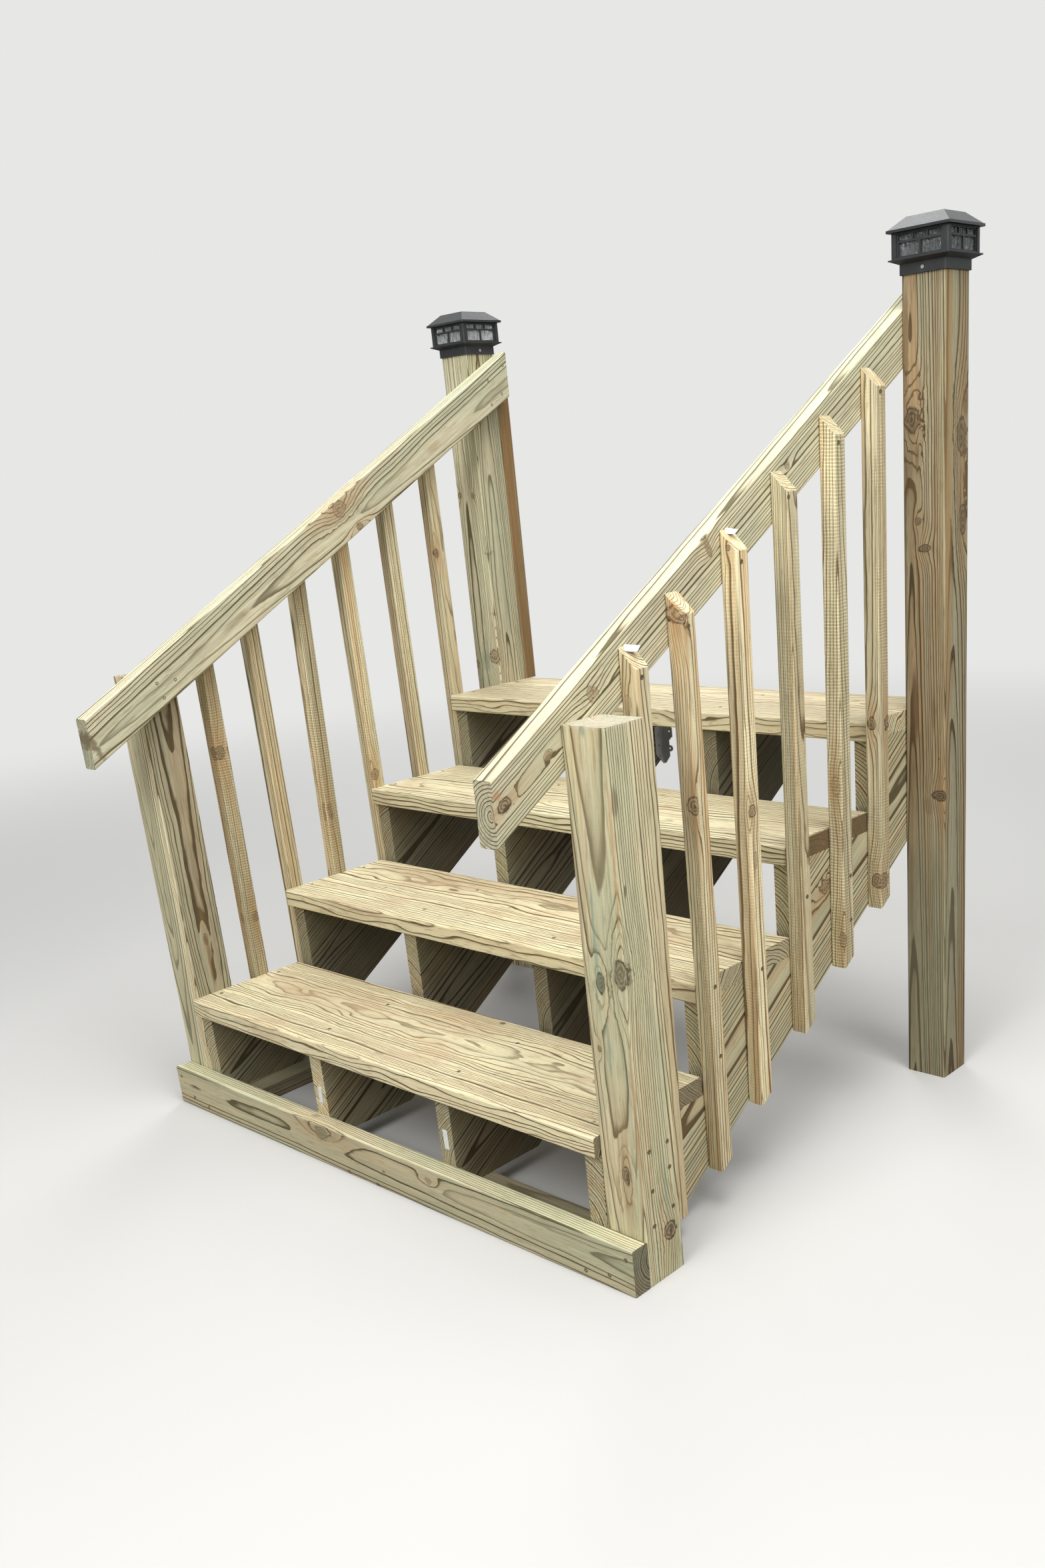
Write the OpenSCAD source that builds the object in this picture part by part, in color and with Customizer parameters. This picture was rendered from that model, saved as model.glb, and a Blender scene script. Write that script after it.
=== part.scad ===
// Open-riser deck stairs in new green-treated pine: four notched stringers carry four
// plank treads between two lower newels and two tall upper posts, with sloping handrails,
// square balusters on the outside and lantern caps on the upper posts.
// Millimetres. +X is to the right as the stairs are faced, +Y runs up the flight, +Z is up.
// The origin is on the ground, below the middle of the whole assembly.

/* [Flight] */
// Length of a tread, which is the clear width between the newels
stair_w = 1219; // [900:1:1500]
// Height from one tread to the next
rise = 177; // [165:1:195]
// How much higher than the others the first step is
first_extra = 8; // [0:1:20]
// Distance from one riser line to the next
run = 284; // [262:1:300]
// How far each tread overhangs the riser line below it
nosing = 14; // [6:1:24]

/* [Lumber] */
// Thickness of a dressed two-inch board
board_t = 38; // [32:1:45]
// Depth of a tread, front to back
tread_d = 286; // [270:1:290]
// Width of the boards that the stringers are cut from
stringer_w = 286; // [270:1:310]
// Width of the handrails, the front board, the sleepers and the nailer
narrow_w = 89; // [75:1:110]
// Side of the square newels and posts
post_w = 89; // [80:1:110]
// Side of a square baluster
baluster_w = 33; // [28:1:40]
// Radius of the eased corners of the lumber
ease = 3.5; // [2:0.5:6]
// Clearance between boards that lie against each other
seat = 0.3; // [0.1:0.1:0.6]

/* [Stringers] */
// How far the corners of the steps lie inside the upper edge of the stringer boards
notch_inset = 15; // [0:1:24]
// How far the two inner stringers stand to the right of even spacing
inner_shift = 8; // [-20:1:20]

// How far the flat front sleeper runs on past the inner right stringer
sleeper_over = 12; // [0:1:40]
// How far the left sleeper runs on behind the stringer's lowest corner
sleeper_past = 40; // [0:1:120]

/* [Newels and posts] */
// Height of the lower right newel
newel_right_h = 944; // [850:1:1050]
// Height of the lower left newel
newel_left_h = 970; // [850:1:1050]
// Height of the bare upper posts, up to the edge of their caps
post_bare_h = 1581; // [1450:1:1700]
// Distance from the back of the right post to the deck face
post_right_back = 66; // [40:1:90]
// Distance from the back of the left post to the deck face
post_left_back = 30; // [10:1:60]
// How far the top of the nailer behind the left post lies below the post cap
nailer_drop = 81; // [40:1:200]

/* [Handrails] */
// Height of the right rail over its newel, at the newel's front face
rail_right_over = 30; // [15:1:60]
// Height of the left rail over its newel, at the newel's front face
rail_left_over = 18; // [10:1:60]
// How far the right rail lies below the post cap, at the post's front face
rail_right_drop = 57; // [30:1:90]
// How far the left rail lies below the post cap, at the post's front face
rail_left_drop = 49; // [30:1:90]
// How far the right rail reaches out in front of its newel
rail_right_reach = 150; // [60:1:200]
// How far the left rail reaches out in front of its newel
rail_left_reach = 143; // [60:1:200]
// How far the rails run on behind the posts
rail_tail = 5; // [0:1:20]

/* [Balusters] */
// Distance from the back of the right newel to the first right baluster
first_right = 50; // [30:1:80]
// Distance from the back of the left newel to the first left baluster
first_left = 66; // [30:1:90]
// Step from the first right baluster to the second
second_right = 119; // [90:1:150]
// Step from the first left baluster to the second
second_left = 126; // [90:1:150]
// Step between the other right balusters
baluster_step = 145.5; // [120:0.5:148]
// Step between the other left balusters
left_step = 141.5; // [120:0.5:148]
// Most that a baluster stands off the even spacing
uneven = 9; // [0:1:12]
// Height of the rail that shows above each baluster
baluster_drop = 24; // [10:1:40]
// Lean of the last left baluster, foot towards the deck, in degrees
left_lean = 0.8; // [0:0.1:2]
// Lean of the second right baluster, foot towards the deck, in degrees
right_lean = 1; // [0:0.1:2]

/* [Lantern caps] */
// Depth of the skirt that slips over the post
skirt_h = 18; // [14:1:30]
// Wall of the skirt and of the plate above it
cap_wall = 3; // [2:0.5:5]
// Width of the flared flange under the lantern
flange_w = 126; // [120:1:140]
// Width of the glazed body
body_w = 116; // [108:1:118]
// Height of the glazed body
body_h = 43; // [36:1:56]
// Width of the body's corner stiles, up to the panes
stile_w = 15; // [12:0.5:20]
// Width of the bars round and between the panes
bar_w = 4; // [3:0.5:6]
// Clear height of the small upper panes
upper_pane_h = 9.5; // [7:0.5:14]
// How deep the sashes are set back in the body
sash_inset = 2; // [1:0.5:2.5]
// Width of the roof at its eaves
eave_w = 130; // [126:1:150]
// Height of the sloping part of the roof
roof_h = 21; // [12:1:28]
// Width of the flat top of the roof
roof_top_w = 76; // [66:1:90]

/* [Hangers] */
// Height of the steel angle at each stringer's rear end
hanger_h = 96; // [80:1:120]
// How far the angle reaches below the stringer's heel
hanger_below = 18; // [0:1:30]
// Width of the angle's leaf on the deck face
hanger_leaf = 29; // [26:1:40]
// Length of the angle's leaf along the stringer
hanger_leg = 34; // [28:1:50]
// Thickness of the steel
steel_t = 1.6; // [1:0.1:3]
// Radius of the nail holes
nail_r = 2.1; // [1.5:0.1:3]

/* [Hidden] */
half = stair_w / 2;
newel_in = half + seat;
newel_out = newel_in + post_w;
front_y = board_t + seat;
foot_z = board_t + seat;
deck_y = front_y + 4 * run;
pitch = atan(rise / run);
function riser_y(i) = front_y + (i - 1) * run;
function step_z(i) = foot_z + first_extra + i * rise;
function tread_z(i) = step_z(i) + seat;
top_z = tread_z(4) + board_t;

// Lower edge of the stringer boards, as a height over any place along the flight
function under_z(y) =
    step_z(1) + (y - front_y) * tan(pitch) - (stringer_w - notch_inset) / cos(pitch);
knee_y = front_y + (foot_z - under_z(front_y)) / tan(pitch);

inner_step = (stair_w - board_t) / 3;
function stringer_x(i) =
    -half + (i - 1) * inner_step + (i == 2 || i == 3 ? inner_shift : 0);

newel_back = front_y + post_w;
post_right_y = deck_y - post_right_back - post_w;
post_left_y = deck_y - post_left_back - post_w;

// Each rail is a line through its newel's front face and its post's front face
right_z0 = newel_right_h + rail_right_over;
right_z1 = post_bare_h - rail_right_drop;
left_z0 = newel_left_h + rail_left_over;
left_z1 = post_bare_h - rail_left_drop;
right_pitch = atan((right_z1 - right_z0) / (post_right_y - front_y));
left_pitch = atan((left_z1 - left_z0) / (post_left_y - front_y));
function rail_right_z(y) = right_z0 + (y - front_y) * tan(right_pitch);
function rail_left_z(y) = left_z0 + (y - front_y) * tan(left_pitch);

// The balusters were set by eye: each stands off its even place and leans by its own share
function right_y(i) =
    newel_back + first_right + baluster_w / 2 + uneven * [0, 0, 0.2, 0.3, 0.7, -0.4][i - 1]
    + (i > 1 ? second_right + (i - 2) * baluster_step : 0);
function left_y(i) =
    newel_back + first_left + baluster_w / 2 + uneven * [0, 0, 0.2, -1, -0.7, -0.5][i - 1]
    + (i > 1 ? second_left + (i - 2) * left_step : 0);
function lean_right(i) = right_lean * [0.1, 1, 0, 0.1, -0.4, -0.4][i - 1];
function lean_left(i) = left_lean * [0.1, 0.6, -1, 1, 0.9, 1][i - 1];

skirt_w = post_w + 2 * seat + 2 * cap_wall;
flare_h = 6;
flange_t = 2;
eave_t = 4.5;
panel_w = roof_top_w - 8;
panel_t = 2;
pane_wall = 2;
frame_wall = 5;
sash_rim = 4;
cap_plate_z = post_bare_h + skirt_h;
body_z = cap_plate_z + flare_h + flange_t + seat;
roof_z = body_z + body_h + seat;
hanger_z = under_z(deck_y) - hanger_below;

// The front of the flight is laid out from the front board, then all moves to the middle
min_y = front_y - max(rail_left_reach, rail_right_reach);
max_y = post_left_y + post_w + seat + board_t;
middle_y = (min_y + max_y) / 2;

module placed() translate([0, -middle_y, 0]) children();

// A rectangle with eased corners, from the origin
module eased(a, b, r) {
    translate([r, 0]) square([a - 2 * r, b]);
    translate([0, r]) square([a, b - 2 * r]);
    for (x = [r, a - r], y = [r, b - r]) translate([x, y]) circle(r = r, $fn = 32);
}

// Lumber standing up, lying along X and lying along Y, each from the origin
module upright(h, a, b) linear_extrude(h) eased(a, b, ease);
module along_x(len, a, b) rotate([90, 0, 90]) linear_extrude(len) eased(a, b, ease);
module along_y(len, a, b)
    translate([0, len, 0]) rotate([90, 0, 0]) linear_extrude(len) eased(a, b, ease);

// An outline in the YZ plane, given its thickness along X
module side_cut(t, pts) rotate([90, 0, 90]) linear_extrude(t) polygon(pts);

// A square block whose four sides lean in, exact on every face
module frustum(b, t, h) {
    pts = [[-b / 2, 0], [b / 2, 0], [t / 2, h], [-t / 2, h]];
    w = max(b, t) + 2;
    intersection() {
        translate([0, w / 2, 0]) rotate([90, 0, 0]) linear_extrude(w) polygon(pts);
        translate([-w / 2, 0, 0]) rotate([90, 0, 90]) linear_extrude(w) polygon(pts);
    }
}

// Stringer: a sloping board with level seats, plumb riser faces and plumb ends
module stringer(i) {
    steps = [for (k = [1:4]) each [[riser_y(k), step_z(k)], [riser_y(k) + run, step_z(k)]]];
    outline = concat([[front_y, foot_z]], steps, [[deck_y, foot_z]]);
    spare = 60;
    color([0.62, 0.60, 0.40])
    translate([stringer_x(i), 0, 0])
    intersection() {
        side_cut(board_t, outline);
        translate([0, front_y, step_z(1)])
        rotate([pitch, 0, 0])
        translate([0, -run * 3, notch_inset - stringer_w])
        along_y(run * 9, board_t, stringer_w + spare);
    }
}

module tread(i) {
    color([0.80, 0.76, 0.52])
    translate([-half, riser_y(i) - nosing, tread_z(i)])
    along_x(stair_w, tread_d, board_t);
}

// Front board on edge across both newels
module kick_board() {
    color([0.74, 0.72, 0.48])
    translate([-newel_out, 0, 0])
    along_x(2 * newel_out, board_t, narrow_w);
}

// Flat board behind the front board, under the two right-hand stringers
module sleeper_front() {
    x0 = stringer_x(3) - sleeper_over;
    color([0.55, 0.52, 0.38])
    translate([x0, front_y, 0])
    along_x(half - x0, narrow_w, board_t);
}

// Flat board lying along the flight under the left stringer
module sleeper_left() {
    color([0.52, 0.48, 0.36])
    translate([-half, front_y, 0])
    along_y(knee_y - front_y + sleeper_past, narrow_w, board_t);
}

module newel_left() {
    color([0.66, 0.60, 0.38])
    translate([-newel_out, front_y, 0])
    upright(newel_left_h, post_w, post_w);
}

module newel_right() {
    color([0.72, 0.71, 0.48])
    translate([newel_in, front_y, 0])
    upright(newel_right_h, post_w, post_w);
}

// The posts go up inside the skirts of their caps
module post_left() {
    color([0.68, 0.64, 0.42])
    translate([-newel_out, post_left_y, 0])
    upright(cap_plate_z - seat, post_w, post_w);
}

module post_right() {
    color([0.68, 0.62, 0.40])
    translate([newel_in, post_right_y, 0])
    upright(cap_plate_z - seat, post_w, post_w);
}

// Board on the back of the left post, standing at deck height
module post_nailer() {
    color([0.72, 0.55, 0.30])
    translate([-newel_in - narrow_w, post_left_y + post_w + seat, top_z])
    upright(post_bare_h - nailer_drop - top_z, narrow_w, board_t);
}

// A sloping rail with plumb-cut ends; x0 is its left face, z0 its top at the newel's front
module rail(x0, z0, slope, y0, y1) {
    color([0.76, 0.74, 0.50])
    intersection() {
        translate([x0, front_y, z0])
        rotate([slope, 0, 0])
        translate([0, -run * 2, -narrow_w])
        along_y(run * 8, board_t, narrow_w);
        translate([x0 - 1, y0, 0]) cube([board_t + 2, y1 - y0, 2 * post_bare_h]);
    }
}

module rail_left()
    rail(-half, left_z0, left_pitch, front_y - rail_left_reach, post_left_y + post_w + rail_tail);

module rail_right()
    rail(half - board_t, right_z0, right_pitch, front_y - rail_right_reach,
        post_right_y + post_w + rail_tail);

// A baluster on the right: its head at (y, z), bevelled down and outwards, its foot trimmed
// along the stringer's lower edge
module baluster(y, z, tilt) {
    far_y = deck_y + run;
    keep = [[0, foot_z], [knee_y, foot_z], [far_y, under_z(far_y)],
        [far_y, 2 * post_bare_h], [0, 2 * post_bare_h]];
    color([0.76, 0.66, 0.40])
    intersection() {
        translate([newel_in, y, z])
        rotate([tilt, 0, 0])
        difference() {
            translate([0, -baluster_w / 2, -post_bare_h])
            upright(post_bare_h, baluster_w, baluster_w);
            rotate([0, 45, 0]) translate([0, -baluster_w, 0]) cube(2 * baluster_w);
        }
        translate([newel_in - 1, 0, 0]) side_cut(baluster_w + 2, keep);
    }
}

module baluster_right(i) baluster(right_y(i), rail_right_z(right_y(i)) - baluster_drop, lean_right(i));
module baluster_left(i)
    mirror([1, 0, 0]) baluster(left_y(i), rail_left_z(left_y(i)) - baluster_drop, lean_left(i));

// Skirt, flare and flange of a lantern cap, centred over its post
module cap_base() {
    color([0.13, 0.13, 0.14])
    difference() {
        union() {
            translate([-skirt_w / 2, -skirt_w / 2, post_bare_h])
            linear_extrude(skirt_h) eased(skirt_w, skirt_w, ease);
            translate([0, 0, cap_plate_z]) frustum(skirt_w, flange_w - 4, flare_h);
            translate([-flange_w / 2, -flange_w / 2, cap_plate_z + flare_h])
            linear_extrude(flange_t) eased(flange_w, flange_w, 4);
        }
        translate([-skirt_w / 2 + cap_wall, -skirt_w / 2 + cap_wall, post_bare_h - 1])
        cube([skirt_w - 2 * cap_wall, skirt_w - 2 * cap_wall, skirt_h + 1]);
    }
}

// A pair of glazed sides across Y: two wide panes below three small ones, cut through, in a
// sash that is set back from the stiles
module panes() {
    clear_w = body_w - 2 * stile_w;
    low_h = body_h - 3 * bar_w - upper_pane_h;
    low_w = (clear_w - bar_w) / 2;
    high_w = (clear_w - 2 * bar_w) / 3;
    sash_w = clear_w + 2 * sash_rim;
    for (k = [0, 1])
        translate([-clear_w / 2 + k * (low_w + bar_w), -body_w, bar_w])
        cube([low_w, 2 * body_w, low_h]);
    for (k = [0, 1, 2])
        translate([-clear_w / 2 + k * (high_w + bar_w), -body_w, 2 * bar_w + low_h])
        cube([high_w, 2 * body_w, upper_pane_h]);
    for (side = [0, 180])
        rotate([0, 0, side])
        translate([-sash_w / 2, -body_w, bar_w / 2])
        cube([sash_w, body_w / 2 + sash_inset, body_h - bar_w]);
}

module cap_frame() {
    hollow = body_w - 2 * frame_wall;
    color([0.12, 0.12, 0.13])
    translate([0, 0, body_z])
    difference() {
        translate([-body_w / 2, -body_w / 2, 0]) linear_extrude(body_h) eased(body_w, body_w, 3);
        translate([-hollow / 2, -hollow / 2, -1]) cube([hollow, hollow, body_h + 2]);
        panes();
        rotate([0, 0, 90]) panes();
    }
}

module cap_glass() {
    outer = body_w - 2 * frame_wall - 2 * seat;
    inner = outer - 2 * pane_wall;
    color([0.75, 0.78, 0.78, 0.4])
    translate([0, 0, body_z])
    difference() {
        translate([-outer / 2, -outer / 2, 0]) cube([outer, outer, body_h]);
        translate([-inner / 2, -inner / 2, -1]) cube([inner, inner, body_h + 2]);
    }
}

module cap_roof() {
    color([0.16, 0.16, 0.17])
    translate([0, 0, roof_z])
    difference() {
        union() {
            translate([-eave_w / 2, -eave_w / 2, 0]) linear_extrude(eave_t) eased(eave_w, eave_w, 2.5);
            translate([0, 0, eave_t]) frustum(eave_w - 4, roof_top_w, roof_h);
        }
        translate([-panel_w / 2, -panel_w / 2, eave_t + roof_h - panel_t])
        cube([panel_w, panel_w, panel_t + 1]);
    }
}

module cap_panel() {
    w = panel_w - 2 * seat;
    color([0.08, 0.09, 0.14])
    translate([-w / 2, -w / 2, roof_z + eave_t + roof_h - panel_t + seat])
    cube([w, w, panel_t - seat - 0.4]);
}

module on_left() translate([-newel_in - post_w / 2, post_left_y + post_w / 2, 0]) children();
module on_right() translate([newel_in + post_w / 2, post_right_y + post_w / 2, 0]) children();

// Outline of the angle's leaf on the deck face: round head, waist, round lug, pointed foot
module leaf_outline() {
    w = hanger_leaf;
    h = hanger_h;
    difference() {
        union() {
            square([w * 0.62, h]);
            translate([0, h * 0.62]) square([w - 9, h * 0.38]);
            translate([w - 10, h * 0.62]) square([10, h * 0.38 - 10]);
            translate([w - 10, h - 10]) circle(r = 10, $fn = 40);
            translate([w - 8, h * 0.40]) circle(r = 8, $fn = 40);
        }
        translate([w + 1, h * 0.60]) circle(r = 9, $fn = 40);
        polygon([[w * 0.1, -1], [w + 5, -1], [w + 5, h * 0.36], [w, h * 0.34]]);
        for (k = [0.40, 0.84]) translate([w - 9, h * k]) circle(r = nail_r, $fn = 24);
    }
}

// Galvanised angle from a stringer's side to the deck face; side is 1 or -1
module hanger(i, side) {
    face_x = side > 0 ? stringer_x(i) + board_t + seat : stringer_x(i) - seat;
    color([0.62, 0.64, 0.66])
    translate([face_x, deck_y, hanger_z])
    mirror([side > 0 ? 0 : 1, 0, 0])
    union() {
        rotate([90, 0, 0]) linear_extrude(steel_t) leaf_outline();
        rotate([90, 0, 90]) linear_extrude(steel_t)
        difference() {
            translate([-hanger_leg, 0]) square([hanger_leg, hanger_h]);
            for (k = [0.22, 0.5, 0.78])
                translate([-hanger_leg * 0.62, hanger_h * k]) circle(r = nail_r, $fn = 24);
            polygon([[-hanger_leg - 1, -1], [-6, -1], [-hanger_leg - 1, hanger_h * 0.3]]);
        }
    }
}

placed() stringer(1);  // stringer_left
placed() stringer(2);  // stringer_inner_left
placed() stringer(3);  // stringer_inner_right
placed() stringer(4);  // stringer_right
placed() tread(1);  // tread_1
placed() tread(2);  // tread_2
placed() tread(3);  // tread_3
placed() tread(4);  // tread_4
placed() kick_board();
placed() sleeper_front();
placed() sleeper_left();
placed() newel_left();
placed() newel_right();
placed() post_left();
placed() post_right();
placed() post_nailer();
placed() rail_left();
placed() rail_right();
placed() baluster_left(1);  // baluster_left_1
placed() baluster_left(2);  // baluster_left_2
placed() baluster_left(3);  // baluster_left_3
placed() baluster_left(4);  // baluster_left_4
placed() baluster_left(5);  // baluster_left_5
placed() baluster_left(6);  // baluster_left_6
placed() baluster_right(1);  // baluster_right_1
placed() baluster_right(2);  // baluster_right_2
placed() baluster_right(3);  // baluster_right_3
placed() baluster_right(4);  // baluster_right_4
placed() baluster_right(5);  // baluster_right_5
placed() baluster_right(6);  // baluster_right_6
placed() on_left() cap_base();  // cap_base_left
placed() on_left() cap_frame();  // cap_frame_left
placed() on_left() cap_glass();  // cap_glass_left
placed() on_left() cap_roof();  // cap_roof_left
placed() on_left() cap_panel();  // cap_panel_left
placed() on_right() cap_base();  // cap_base_right
placed() on_right() cap_frame();  // cap_frame_right
placed() on_right() cap_glass();  // cap_glass_right
placed() on_right() cap_roof();  // cap_roof_right
placed() on_right() cap_panel();  // cap_panel_right
placed() hanger(1, 1);  // hanger_1
placed() hanger(2, 1);  // hanger_2
placed() hanger(3, 1);  // hanger_3
placed() hanger(4, -1);  // hanger_4
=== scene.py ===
"""Looks for an open-riser flight of deck stairs in green-treated pine: sawn boards with their growth
rings, knots and saw marks, black lantern caps, zinc hangers, screws, blank tags, and a pale studio."""

import math

import bpy
import numpy as np
from mathutils import Matrix, Vector


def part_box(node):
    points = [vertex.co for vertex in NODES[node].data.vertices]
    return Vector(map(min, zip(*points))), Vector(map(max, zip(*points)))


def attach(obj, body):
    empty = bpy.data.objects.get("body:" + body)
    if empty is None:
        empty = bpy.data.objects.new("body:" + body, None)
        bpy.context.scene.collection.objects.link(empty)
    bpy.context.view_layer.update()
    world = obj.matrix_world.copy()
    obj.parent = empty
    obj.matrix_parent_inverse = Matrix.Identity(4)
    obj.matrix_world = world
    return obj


bl_info = {
    "name": "Deck stairs",
    "version": (1, 0, 0),
    "blender": (4, 5, 0),
    "location": "View3D > Sidebar > Deck stairs",
    "description": "Finishes the boards, caps and hangers of a flight of deck stairs and lights them",
    "category": "Object",
}

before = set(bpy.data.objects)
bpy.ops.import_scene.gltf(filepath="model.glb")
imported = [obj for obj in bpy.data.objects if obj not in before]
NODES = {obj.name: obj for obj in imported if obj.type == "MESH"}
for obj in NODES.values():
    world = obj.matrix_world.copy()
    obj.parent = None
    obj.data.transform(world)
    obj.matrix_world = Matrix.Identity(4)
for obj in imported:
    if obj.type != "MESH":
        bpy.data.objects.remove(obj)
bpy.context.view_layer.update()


# Settings that a user would change

def swatch(name, description, default):
    return bpy.props.FloatVectorProperty(
        name=name, description=description, subtype="COLOR", size=3, min=0, max=1, default=default)


class PineLook(bpy.types.PropertyGroup):
    early: swatch("Early wood", "The pale wood between the ring lines", (0.60, 0.540, 0.350))
    late: swatch("Late wood", "The dark line at the end of each ring", (0.105, 0.080, 0.036))
    warm: swatch("Resin", "The orange-brown of resin-rich bands", (0.47, 0.31, 0.155))
    green: swatch("Treatment", "The green cast that the treatment leaves", (0.390, 0.420, 0.275))
    knot: swatch("Knot", "The dark heart of a knot", (0.075, 0.050, 0.030))
    soil: swatch("Footprints", "The reddish dust trodden into the treads", (0.43, 0.29, 0.175))


class FittingLook(bpy.types.PropertyGroup):
    screw_radius: bpy.props.FloatProperty(
        name="Screw head radius", description="Half the width of a deck screw's head",
        default=0.0042, min=0.003, max=0.006, unit="LENGTH")
    screw: swatch("Screw coating", "The coating of the deck screws", (0.17, 0.135, 0.07))
    cap: swatch("Cap", "The lantern caps' black", (0.014, 0.016, 0.018))
    zinc: swatch("Zinc", "The hangers' zinc coating", (0.46, 0.47, 0.48))
    tag: swatch("Tag", "The blank lumber tags and labels", (0.80, 0.80, 0.78))


class StageLook(bpy.types.PropertyGroup):
    floor: swatch("Floor", "The studio floor", (0.57, 0.565, 0.55))
    backdrop: swatch("Backdrop", "What shows behind the stairs", (0.80, 0.80, 0.79))
    sky: bpy.props.FloatProperty(
        name="Fill light", description="The strength of the even light from all round", default=0.29, min=0, max=2)
    key: bpy.props.FloatProperty(
        name="Overhead light", description="The power of the large lamp above",
        default=155, min=0, max=2000, unit="POWER")


# Helpers that join shader nodes

def tree_of(values):
    """The node tree that some socket among the values belongs to."""
    return next(value.id_data for value in values if isinstance(value, bpy.types.NodeSocket))


def fill(node, inputs):
    """Sets or joins a node's inputs."""
    for key, value in inputs.items():
        if isinstance(value, bpy.types.NodeSocket):
            node.id_data.links.new(value, node.inputs[key])
        else:
            node.inputs[key].default_value = value


def put(kind, inputs, out=0, tree=None, **settings):
    """Adds one node with its inputs and settings, in their tree or the one given. Gives back one of its outputs."""
    node = (tree or tree_of(inputs.values())).nodes.new("ShaderNode" + kind)
    for key, value in settings.items():
        setattr(node, key, value)
    fill(node, inputs)
    return node.outputs[out]


def calc(operation, a, b=0.0, c=0.0, clamp=False):
    return put("Math", {0: a, 1: b, 2: c}, operation=operation, use_clamp=clamp)


def mul(a, *others, clamp=False):
    for b in others:
        a = calc("MULTIPLY", a, b, clamp=clamp)
    return a


def add(a, b):
    return calc("ADD", a, b)


def mul_add(a, b, c):
    return calc("MULTIPLY_ADD", a, b, c)


def vary(value, *sources):
    """Multiplies a value by gain * source + least for each of the sources."""
    for source, gain, least in sources:
        value = mul(value, mul_add(source, gain, least))
    return value


def decay(power):
    """Is 1 where power is 0, and falls towards 0 as power goes below it."""
    return calc("POWER", 2.718, power)


def move(operation, a, b=(0, 0, 0), scale=1.0, out=0):
    inputs = {0: a, 3: scale} if operation == "SCALE" else {0: a, 1: b}
    return put("VectorMath", inputs, out=out, operation=operation)


def dot(a, b):
    return move("DOT_PRODUCT", a, b, out=1)


def length_of(vector):
    return move("LENGTH", vector, out=1)


def across_grain(vector):
    """A vector without its share along the board."""
    return move("MULTIPLY", vector, (0, 1, 1))


def x_of(vector):
    return put("SeparateXYZ", {0: vector})


def grey(value):
    return put("CombineXYZ", {0: value, 1: value, 2: value})


def rise(value, low, high, to_low=0.0, to_high=1.0):
    """A smooth step from to_low at low to to_high at high."""
    inputs = {"Value": value, "From Min": low, "From Max": high, "To Min": to_low, "To Max": to_high}
    return put("MapRange", inputs, interpolation_type="SMOOTHSTEP")


def tint(share, a, b, mode="MIX"):
    inputs = {0: share, 6: a, 7: b}
    return put("Mix", inputs, out=2, data_type="RGBA", blend_type=mode, clamp_factor=True)


def rgba(colour):
    return (*colour, 1)


def noise(place, stretch, seed=0.0, detail=2.0, rough=0.5, out=0):
    """Noise on a place stretched by three factors, in cells per metre."""
    shift = put("CombineXYZ", {0: seed, 1: seed, 2: 0.0}, tree=place.id_data)
    spot = move("ADD", move("MULTIPLY", place, stretch), shift)
    inputs = {"Vector": spot, "Scale": 1.0, "Detail": detail, "Roughness": rough}
    return put("TexNoise", inputs, out=out)


def shake(place, stretch, seed, detail=2.0):
    """A vector of noise about zero."""
    return move("SUBTRACT", noise(place, stretch, seed, detail, out=1), (0.5, 0.5, 0.5))


def texture_place(tree):
    """The place on a piece, in its own frame."""
    return put("TexCoord", {}, out=3, tree=tree)


def sockets(kind, *labels):
    return [(label, kind, None) for label in labels]


def floats(**defaults):
    return [(label, "Float", value) for label, value in defaults.items()]


def group(name, ins, outs):
    """A new shader node group with named sockets. Gives its inputs by name, and its output node."""
    tree = bpy.data.node_groups.new(name, "ShaderNodeTree")
    for label, kind, value in ins:
        socket = tree.interface.new_socket(label, in_out="INPUT", socket_type="NodeSocket" + kind)
        if value is not None:
            socket.default_value = value
    for label, kind, _ in outs:
        tree.interface.new_socket(label, in_out="OUTPUT", socket_type="NodeSocket" + kind)
    given = tree.nodes.new("NodeGroupInput")
    return {s.name: s for s in given.outputs}, tree.nodes.new("NodeGroupOutput")


def use(name, inputs):
    """Places a node group and gives back all its outputs by name."""
    node = tree_of(inputs.values()).nodes.new("ShaderNodeGroup")
    node.node_tree = bpy.data.node_groups[name]
    fill(node, inputs)
    return {s.name: s for s in node.outputs}


# Effects that several finishes share

# What each knot hands on to the next one, and the last one to the wood
CARRIED = sockets("Vector", "Bend") + floats(Lift=0.0, Heart=0.0, Rim=0.0, Stained=0.0)


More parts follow.
